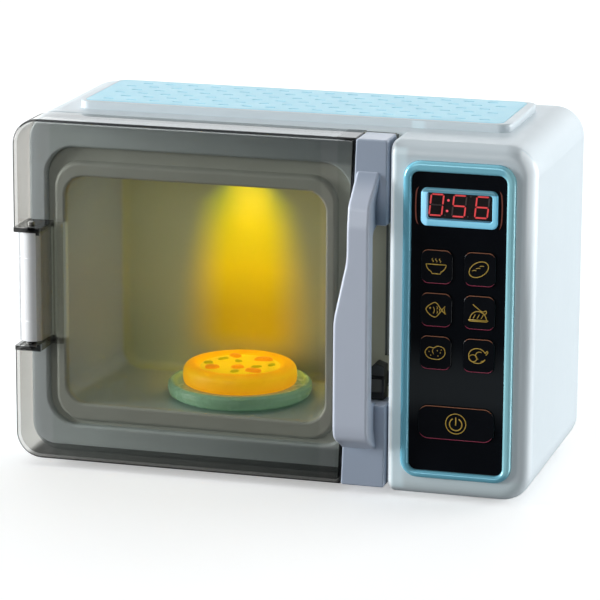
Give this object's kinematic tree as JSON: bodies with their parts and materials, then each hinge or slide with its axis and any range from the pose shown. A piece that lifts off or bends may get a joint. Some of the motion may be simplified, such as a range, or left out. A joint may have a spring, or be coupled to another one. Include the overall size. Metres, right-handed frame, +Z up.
{
  "type": "toy microwave oven",
  "caption": "Toy microwave oven with a smoked swing door and bar handle, lit cavity with a driven turntable and toy pizza, and a side panel with display and press keys.",
  "frame": {"origin": "centre of the overall box, on the plane that the feet stand on", "axes": "+X to the control-panel side as seen from the front, +Y from the door to the back, +Z up"},
  "size_m": [0.3, 0.156, 0.2055],
  "materials": {
    "white_plastic": "satin moulded ABS, cool white",
    "liner_plastic": "satin moulded ABS, light grey",
    "pale_blue_plastic": "satin moulded ABS, pale blue",
    "cyan_plastic": "gloss moulded ABS, cyan",
    "black_gloss": "high-gloss black",
    "black_plastic": "fine moulded texture",
    "display_acrylic": "tinted clear acrylic",
    "smoked_plastic": "polished smoked polystyrene",
    "lilac_plastic": "satin-gloss moulded ABS, lilac grey",
    "lamp_yellow": "translucent yellow, lit",
    "circuit_board": "solder mask green",
    "cell_jacket": "plain dark jacket",
    "plated_steel": "zinc plated",
    "grey_rubber": "soft matt rubber",
    "green_plastic": "gloss moulded plastic, sea green",
    "gear_plastic": "natural acetal",
    "pizza_crust": "soft-touch moulded toy food",
    "wire_insulation": "PVC insulation"
  },
  "bodies": {
    "casing": {"main_casing": "white_plastic", "rear_cover": "white_plastic", "rear_cover_screws": "plated_steel", "top_plate": "pale_blue_plastic", "cavity_liner": "liner_plastic", "liner_screws": "plated_steel", "lamp_lens": "lamp_yellow", "lamp_board": "circuit_board", "lamp_led": "lamp_yellow", "lamp_board_screws": "plated_steel", "panel_rim": "cyan_plastic", "panel_fascia": "black_gloss", "display_bezel": "pale_blue_plastic", "display_window": "display_acrylic", "display_module": "black_plastic", "control_board": "circuit_board", "key_switches": "black_plastic", "board_components": "black_plastic", "control_board_screws": "plated_steel", "hinge_bracket": "white_plastic", "hinge_bracket_screws": "plated_steel", "hinge_pin": "plated_steel", "latch_catch": "white_plastic", "gearbox_base": "white_plastic", "gearbox_cover": "white_plastic", "gearbox_screws": "plated_steel", "gear_shafts": "plated_steel", "turntable_motor": "plated_steel", "battery_box": "black_plastic", "battery_cells": "cell_jacket", "battery_contacts": "plated_steel", "battery_door": "white_plastic", "battery_door_screw": "plated_steel", "speaker_basket": "plated_steel", "speaker_cone": "black_plastic", "battery_leads": "wire_insulation", "speaker_leads": "wire_insulation", "lamp_leads": "wire_insulation", "motor_leads": "wire_insulation", "rubber_feet": "grey_rubber"},
    "door": {"door_shell": "smoked_plastic", "door_handle": "lilac_plastic", "handle_screws": "plated_steel", "latch_hook": "black_plastic"},
    "soup_key": {"soup_key": "black_gloss"},
    "bread_key": {"bread_key": "black_gloss"},
    "fish_key": {"fish_key": "black_gloss"},
    "roast_key": {"roast_key": "black_gloss"},
    "potato_key": {"potato_key": "black_gloss"},
    "chicken_key": {"chicken_key": "black_gloss"},
    "power_key": {"power_key": "black_gloss"},
    "turntable": {"turntable_spindle": "gear_plastic", "turntable_plate": "green_plastic"},
    "second_gear": {"second_gear": "gear_plastic"},
    "first_gear": {"first_gear": "gear_plastic"},
    "motor_pinion": {"motor_pinion": "gear_plastic"},
    "toy_pizza": {"toy_pizza": "pizza_crust"}
  },
  "joints": [
    {"name": "door_hinge", "type": "hinge", "parent": "casing", "child": "door", "pos_m": [-0.1435, -0.052, 0.1025], "axis": [0, 0, -1], "range_deg": [0, 110]},
    {"name": "soup_key_press", "type": "slide", "parent": "casing", "child": "soup_key", "axis": [0, 1, 0], "range_m": [0, 0.001], "stiffness_N_per_m": 600},
    {"name": "bread_key_press", "type": "slide", "parent": "casing", "child": "bread_key", "axis": [0, 1, 0], "range_m": [0, 0.001], "stiffness_N_per_m": 600},
    {"name": "fish_key_press", "type": "slide", "parent": "casing", "child": "fish_key", "axis": [0, 1, 0], "range_m": [0, 0.001], "stiffness_N_per_m": 600},
    {"name": "roast_key_press", "type": "slide", "parent": "casing", "child": "roast_key", "axis": [0, 1, 0], "range_m": [0, 0.001], "stiffness_N_per_m": 600},
    {"name": "potato_key_press", "type": "slide", "parent": "casing", "child": "potato_key", "axis": [0, 1, 0], "range_m": [0, 0.001], "stiffness_N_per_m": 600},
    {"name": "chicken_key_press", "type": "slide", "parent": "casing", "child": "chicken_key", "axis": [0, 1, 0], "range_m": [0, 0.001], "stiffness_N_per_m": 600},
    {"name": "power_key_press", "type": "slide", "parent": "casing", "child": "power_key", "axis": [0, 1, 0], "range_m": [0, 0.001], "stiffness_N_per_m": 600},
    {"name": "turntable_spin", "type": "hinge", "parent": "casing", "child": "turntable", "pos_m": [-0.038, 0.008, 0.034], "axis": [0, 0, 1], "continuous": true},
    {"name": "second_gear_spin", "type": "hinge", "parent": "casing", "child": "second_gear", "pos_m": [-0.02, 0.008, 0.013], "axis": [0, 0, 1], "continuous": true},
    {"name": "first_gear_spin", "type": "hinge", "parent": "casing", "child": "first_gear", "pos_m": [-0.01583, 0.02084, 0.016], "axis": [0, 0, 1], "continuous": true},
    {"name": "motor_spin", "type": "hinge", "parent": "casing", "child": "motor_pinion", "pos_m": [-0.00262, 0.02365, 0.016], "axis": [0, 0, 1], "continuous": true},
    {"name": "pizza_lift", "type": "slide", "parent": "turntable", "child": "toy_pizza", "axis": [0, 0, 1], "range_m": [0, 0.03]}
  ],
  "couplings": [
    {"joint": "second_gear_spin", "follows": "turntable_spin", "ratio": -4},
    {"joint": "first_gear_spin", "follows": "turntable_spin", "ratio": 14},
    {"joint": "motor_spin", "follows": "turntable_spin", "ratio": -49}
  ]
}
